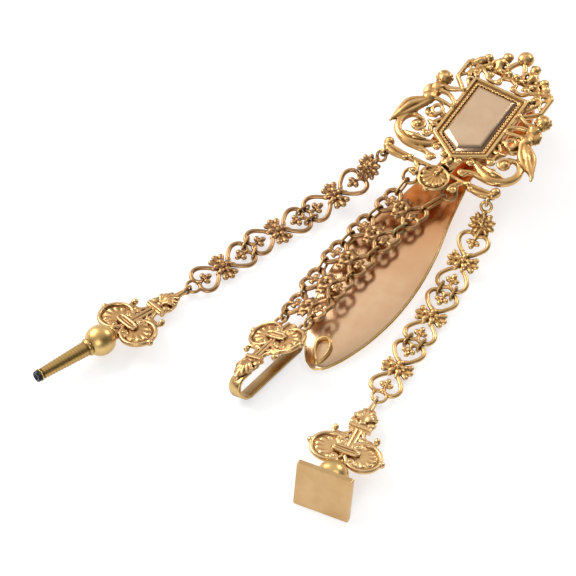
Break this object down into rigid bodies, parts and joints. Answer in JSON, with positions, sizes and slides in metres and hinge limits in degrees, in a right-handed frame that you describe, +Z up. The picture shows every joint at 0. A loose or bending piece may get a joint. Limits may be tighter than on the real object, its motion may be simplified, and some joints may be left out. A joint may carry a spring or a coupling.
{
  "type": "chatelaine with watch clip, watch key and seal",
  "caption": "Cast gilt plaque with a belt hook behind, and chains of heart-shaped links below that carry a watch clip, a watch key and a seal.",
  "frame": {"origin": "middle of the box's base, on the surface that the chatelaine lies on", "axes": "+Y runs up the plaque's axis towards its crest, +X to the right of it, +Z up from the surface"},
  "size_m": [0.0874, 0.1496, 0.015],
  "materials": {
    "gilt_brass": "pinchbeck, an old gold-coloured brass, worn bright on the high places",
    "rose_gold_tablet": "pale rose-gold plate, polished flat",
    "seal_plate_gold": "rose-gold plate, softly polished",
    "pipe_brass": "browner brass with fine turned ribs and a dark steel tip",
    "hook_gold": "rolled gilt sheet, smooth and bright"
  },
  "bodies": {
    "root": {"back_hook": "hook_gold", "clip_ring_a": "gilt_brass", "clip_ring_b": "gilt_brass", "cross_link_1": "gilt_brass", "cross_link_2": "gilt_brass", "cross_link_3": "gilt_brass", "cross_link_4": "gilt_brass", "cross_link_5": "gilt_brass", "cross_ring_1a": "gilt_brass", "cross_ring_1b": "gilt_brass", "cross_ring_2a": "gilt_brass", "cross_ring_2b": "gilt_brass", "cross_ring_3a": "gilt_brass", "cross_ring_3b": "gilt_brass", "cross_ring_4a": "gilt_brass", "cross_ring_4b": "gilt_brass", "key_ornament": "gilt_brass", "key_pipe": "pipe_brass", "left_link_1": "gilt_brass", "left_link_2": "gilt_brass", "left_link_3": "gilt_brass", "left_ring_1a": "gilt_brass", "left_ring_1b": "gilt_brass", "left_ring_2a": "gilt_brass", "left_ring_2b": "gilt_brass", "plaque": "gilt_brass", "right_link_1": "gilt_brass", "right_link_2": "gilt_brass", "right_link_3": "gilt_brass", "right_ring_1a": "gilt_brass", "right_ring_1b": "gilt_brass", "right_ring_2a": "gilt_brass", "right_ring_2b": "gilt_brass", "seal_ornament": "gilt_brass", "seal_plate": "seal_plate_gold", "suspension_bar": "gilt_brass", "tablet": "rose_gold_tablet", "top_oval_a": "gilt_brass", "top_oval_b": "gilt_brass", "top_ring_a": "gilt_brass", "top_ring_b": "gilt_brass", "watch_clip": "gilt_brass"}
  },
  "joints": []
}
